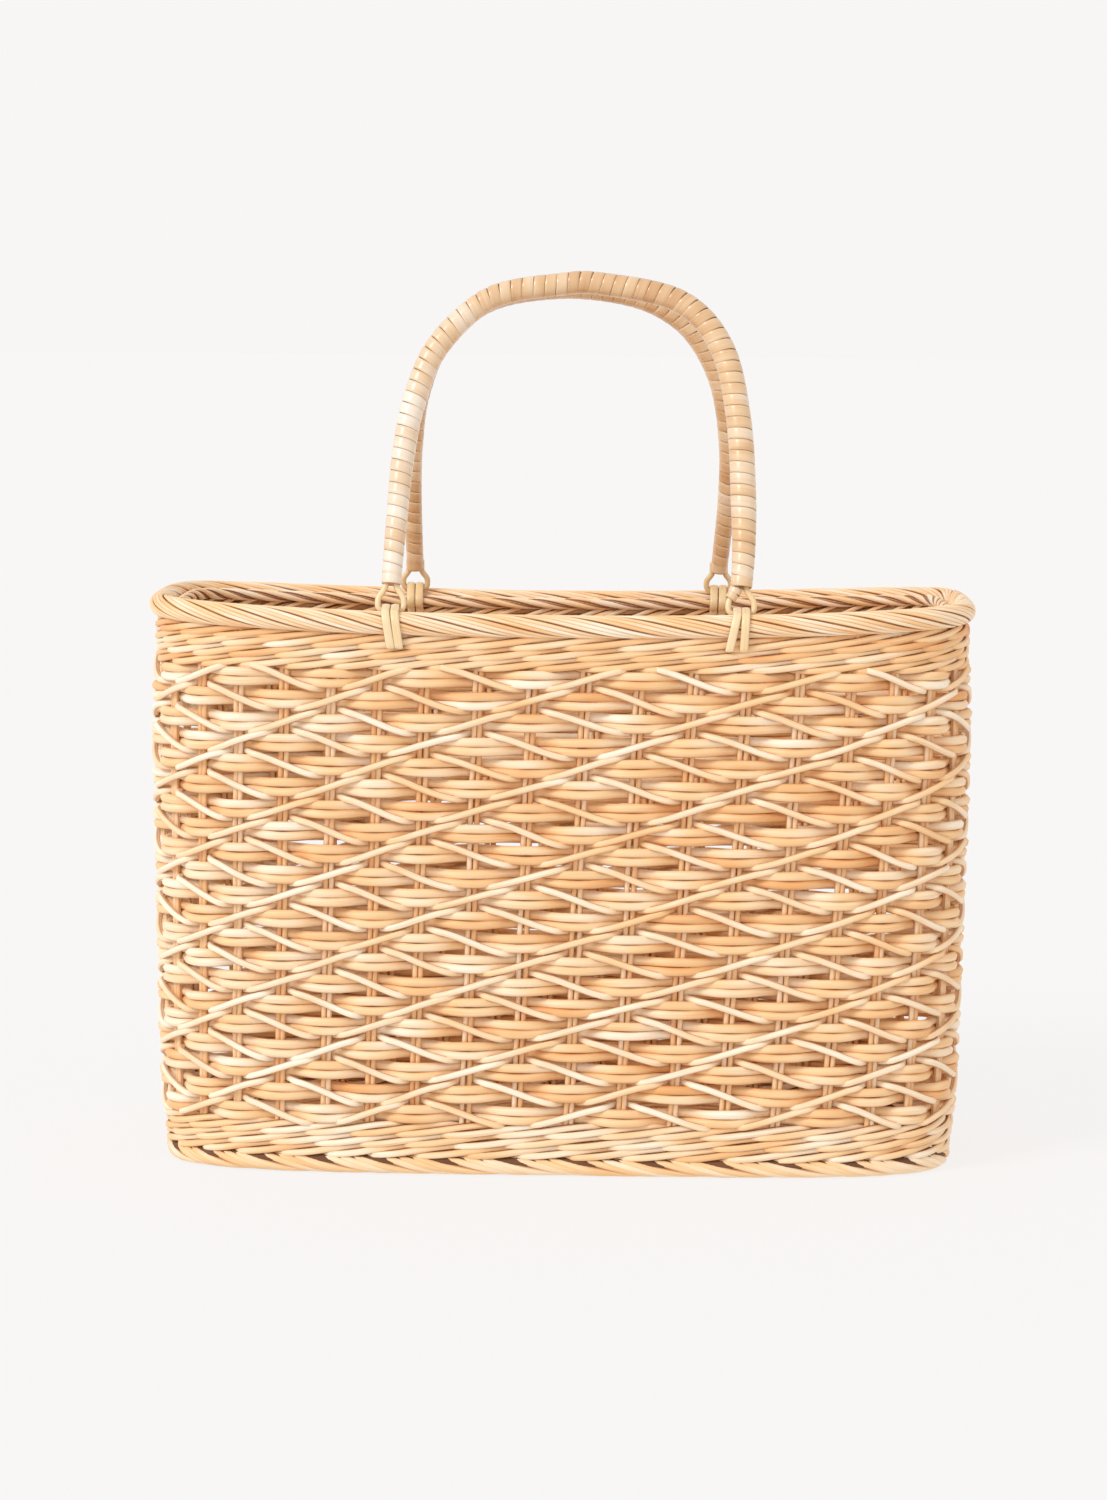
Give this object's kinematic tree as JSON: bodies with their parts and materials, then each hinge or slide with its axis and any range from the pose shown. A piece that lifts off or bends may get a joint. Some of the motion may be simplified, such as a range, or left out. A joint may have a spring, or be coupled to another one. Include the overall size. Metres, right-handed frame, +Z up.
{
  "type": "straw basket bag",
  "caption": "Open oblong basket bag of woven cane with a rolled rim and two arched, wrapped handles that tilt on cane loops tied to the rim.",
  "frame": {"origin": "centre of the basket's footprint, on the surface that it stands on", "axes": "+Z up, +X along the basket's length to the right, front face towards -Y"},
  "size_m": [0.4002, 0.1789, 0.4311],
  "materials": {
    "cane_weave": "satin",
    "cane_rope": "satin",
    "cane_peel": "semi-gloss",
    "cane_tie": "semi-gloss"
  },
  "bodies": {
    "basket": {"foot_rope": "cane_rope", "lower_wale": "cane_weave", "side_weave": "cane_weave", "base_mat": "cane_weave", "upper_wale": "cane_weave", "rim_roll": "cane_rope", "rim_inner_rope": "cane_rope", "tie_front_left": "cane_tie", "tie_front_right": "cane_tie", "tie_back_left": "cane_tie", "tie_back_right": "cane_tie"},
    "handle_front": {"grip_front": "cane_peel", "loop_front_left": "cane_tie", "loop_front_right": "cane_tie", "loop_binding": "cane_peel"},
    "handle_back": {"grip_back": "cane_peel", "loop_back_left": "cane_tie", "loop_back_right": "cane_tie"}
  },
  "joints": [
    {"name": "front_handle_tilt", "type": "hinge", "parent": "basket", "child": "handle_front", "pos_m": [0, -0.07725, 0.27124], "axis": [1, 0, 0], "range_deg": [-11, 75]},
    {"name": "back_handle_tilt", "type": "hinge", "parent": "basket", "child": "handle_back", "pos_m": [0, 0.07736, 0.27111], "axis": [-1, 0, 0], "range_deg": [-11, 75]}
  ]
}
